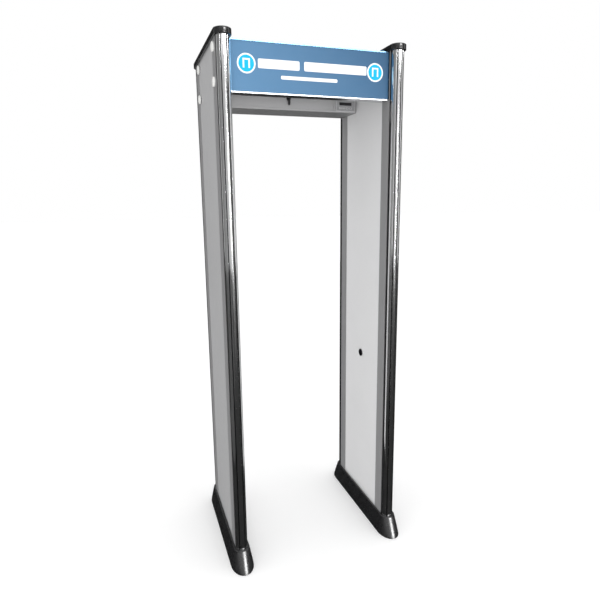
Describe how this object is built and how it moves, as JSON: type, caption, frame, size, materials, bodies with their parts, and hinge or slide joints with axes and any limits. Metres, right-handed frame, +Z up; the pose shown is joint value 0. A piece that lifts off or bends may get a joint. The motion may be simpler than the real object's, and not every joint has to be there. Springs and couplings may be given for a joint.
{
  "type": "walk-through metal detector gate",
  "caption": "Free-standing walk-through metal detector gate: two sensing legs with polished round edges, a header with a sign panel, and a rear main unit with a hinged service door.",
  "frame": {"origin": "on the floor at the centre of the footprint, midway between the legs and midway from front to rear", "axes": "+Z up, +Y from the sign side to the rear, +X to the right as seen from the sign side"},
  "size_m": [0.818, 0.674, 2.2],
  "materials": {
    "polished_metal": "mirror-polished aluminium tube",
    "black_strip": "satin black plastic",
    "channel_grey": "satin grey anodised aluminium",
    "panel_grey": "fine-textured light grey laminate",
    "cap_black": "glossy black moulding",
    "foot_black": "satin black moulding with a fine grain",
    "knob_white": "white moulded plastic",
    "coil_copper": "copper winding bound with tape",
    "sensor_black": "glossy infrared window",
    "sign_blue": "satin printed sheet",
    "trim_metal": "bright satin aluminium",
    "header_grey": "satin grey powder coat",
    "steel": "zinc-plated steel",
    "latch_black": "black moulded plastic",
    "bezel_grey": "light grey moulding",
    "face_grey": "grey printed film",
    "display_lens": "dark display filter",
    "alarm_lens": "dark red filter",
    "key_grey": "moulded silicone",
    "board_green": "solder-masked circuit board",
    "steel_case": "perforated steel case",
    "rocker_red": "red moulded plastic"
  },
  "bodies": {
    "gate": {"left_front_post": "polished_metal", "left_front_joint_strip": "black_strip", "left_front_channel": "channel_grey", "left_rear_post": "polished_metal", "left_rear_joint_strip": "black_strip", "left_rear_channel": "channel_grey", "left_outer_panel": "panel_grey", "left_inner_panel": "panel_grey", "left_top_cap": "cap_black", "left_foot": "foot_black", "transmit_coil": "coil_copper", "left_beam_sensor": "sensor_black", "left_front_upper_header_bolt": "knob_white", "left_front_lower_header_bolt": "knob_white", "left_rear_upper_header_bolt": "knob_white", "left_rear_lower_header_bolt": "knob_white", "right_front_post": "polished_metal", "right_front_joint_strip": "black_strip", "right_front_channel": "channel_grey", "right_rear_post": "polished_metal", "right_rear_joint_strip": "black_strip", "right_rear_channel": "channel_grey", "right_outer_panel": "panel_grey", "right_inner_panel": "panel_grey", "right_top_cap": "cap_black", "right_foot": "foot_black", "receive_coil": "coil_copper", "right_beam_sensor": "sensor_black", "right_front_upper_header_bolt": "knob_white", "right_front_lower_header_bolt": "knob_white", "right_rear_upper_header_bolt": "knob_white", "right_rear_lower_header_bolt": "knob_white", "sign_frame": "trim_metal", "sign_face": "sign_blue", "sign_back": "header_grey", "beam_top_cover": "header_grey", "unit_housing": "header_grey", "unit_front_frame": "header_grey", "door_hinge_pin": "steel", "control_bezel": "bezel_grey", "control_faceplate": "face_grey", "display_window": "display_lens", "alarm_window": "alarm_lens", "control_board": "board_green", "main_board": "board_green", "power_supply": "steel_case", "siren": "latch_black", "power_inlet": "latch_black", "switch_frame": "latch_black"},
    "door": {"service_door": "header_grey"},
    "latch": {"door_latch": "latch_black", "latch_cam": "steel"},
    "menu_key": {"menu_key": "key_grey"},
    "down_key": {"down_key": "key_grey"},
    "up_key": {"up_key": "key_grey"},
    "enter_key": {"enter_key": "key_grey"},
    "rocker": {"power_rocker": "rocker_red"}
  },
  "joints": [
    {"name": "service_door_hinge", "type": "hinge", "parent": "gate", "child": "door", "pos_m": [0, 0.0817, 2.1675], "axis": [-1, 0, 0], "range_deg": [0, 80]},
    {"name": "door_latch_turn", "type": "hinge", "parent": "door", "child": "latch", "pos_m": [0, 0.085, 2.036], "axis": [0, 1, 0], "range_deg": [0, 90]},
    {"name": "menu_key_press", "type": "slide", "parent": "gate", "child": "menu_key", "axis": [0, 1, 0], "range_m": [0, 0.0012], "stiffness_N_per_m": 400, "springref_m": -0.0015},
    {"name": "down_key_press", "type": "slide", "parent": "gate", "child": "down_key", "axis": [0, 1, 0], "range_m": [0, 0.0012], "stiffness_N_per_m": 400, "springref_m": -0.0015},
    {"name": "up_key_press", "type": "slide", "parent": "gate", "child": "up_key", "axis": [0, 1, 0], "range_m": [0, 0.0012], "stiffness_N_per_m": 400, "springref_m": -0.0015},
    {"name": "enter_key_press", "type": "slide", "parent": "gate", "child": "enter_key", "axis": [0, 1, 0], "range_m": [0, 0.0012], "stiffness_N_per_m": 400, "springref_m": -0.0015},
    {"name": "power_rocker_tilt", "type": "hinge", "parent": "gate", "child": "rocker", "pos_m": [-0.237, 0.243, 2.04], "axis": [-1, 0, 0], "range_deg": [0, 20]}
  ]
}
